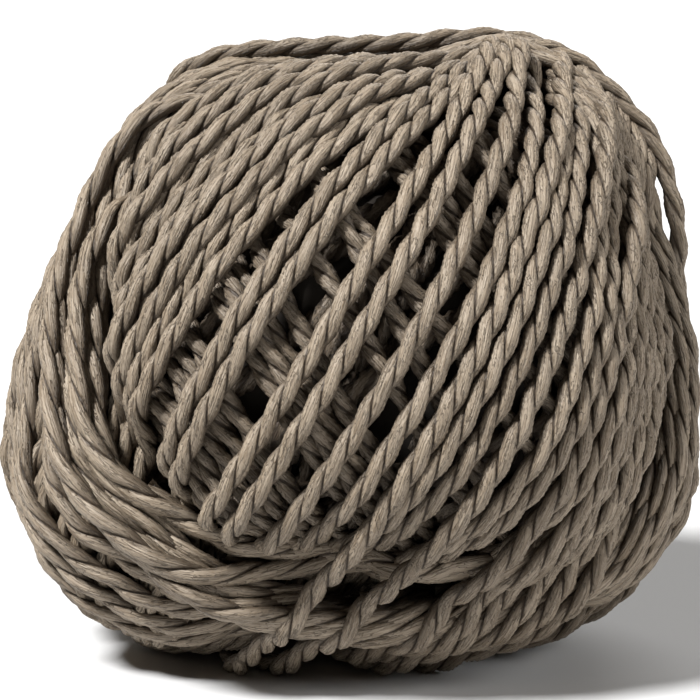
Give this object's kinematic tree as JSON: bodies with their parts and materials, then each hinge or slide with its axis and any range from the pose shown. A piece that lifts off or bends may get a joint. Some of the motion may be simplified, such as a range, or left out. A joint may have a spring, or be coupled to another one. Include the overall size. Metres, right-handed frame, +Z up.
{
  "type": "ball of paper yarn",
  "caption": "Hand-sized ball of two-ply twisted paper yarn, loosely cross-wound in fans about a slanted axis, resting on a small flat spot.",
  "frame": {"origin": "centre of the bounding box's bottom, on the flat spot that the ball stands on", "axes": "+Z up, -Y towards the front with the open fan of turns, +X to the right"},
  "size_m": [0.0936, 0.0906, 0.0836],
  "materials": {
    "paper_yarn": "matte twisted paper with a faint sheen and fine lengthwise creases"
  },
  "bodies": {
    "root": {"ball": "paper_yarn"}
  },
  "joints": []
}
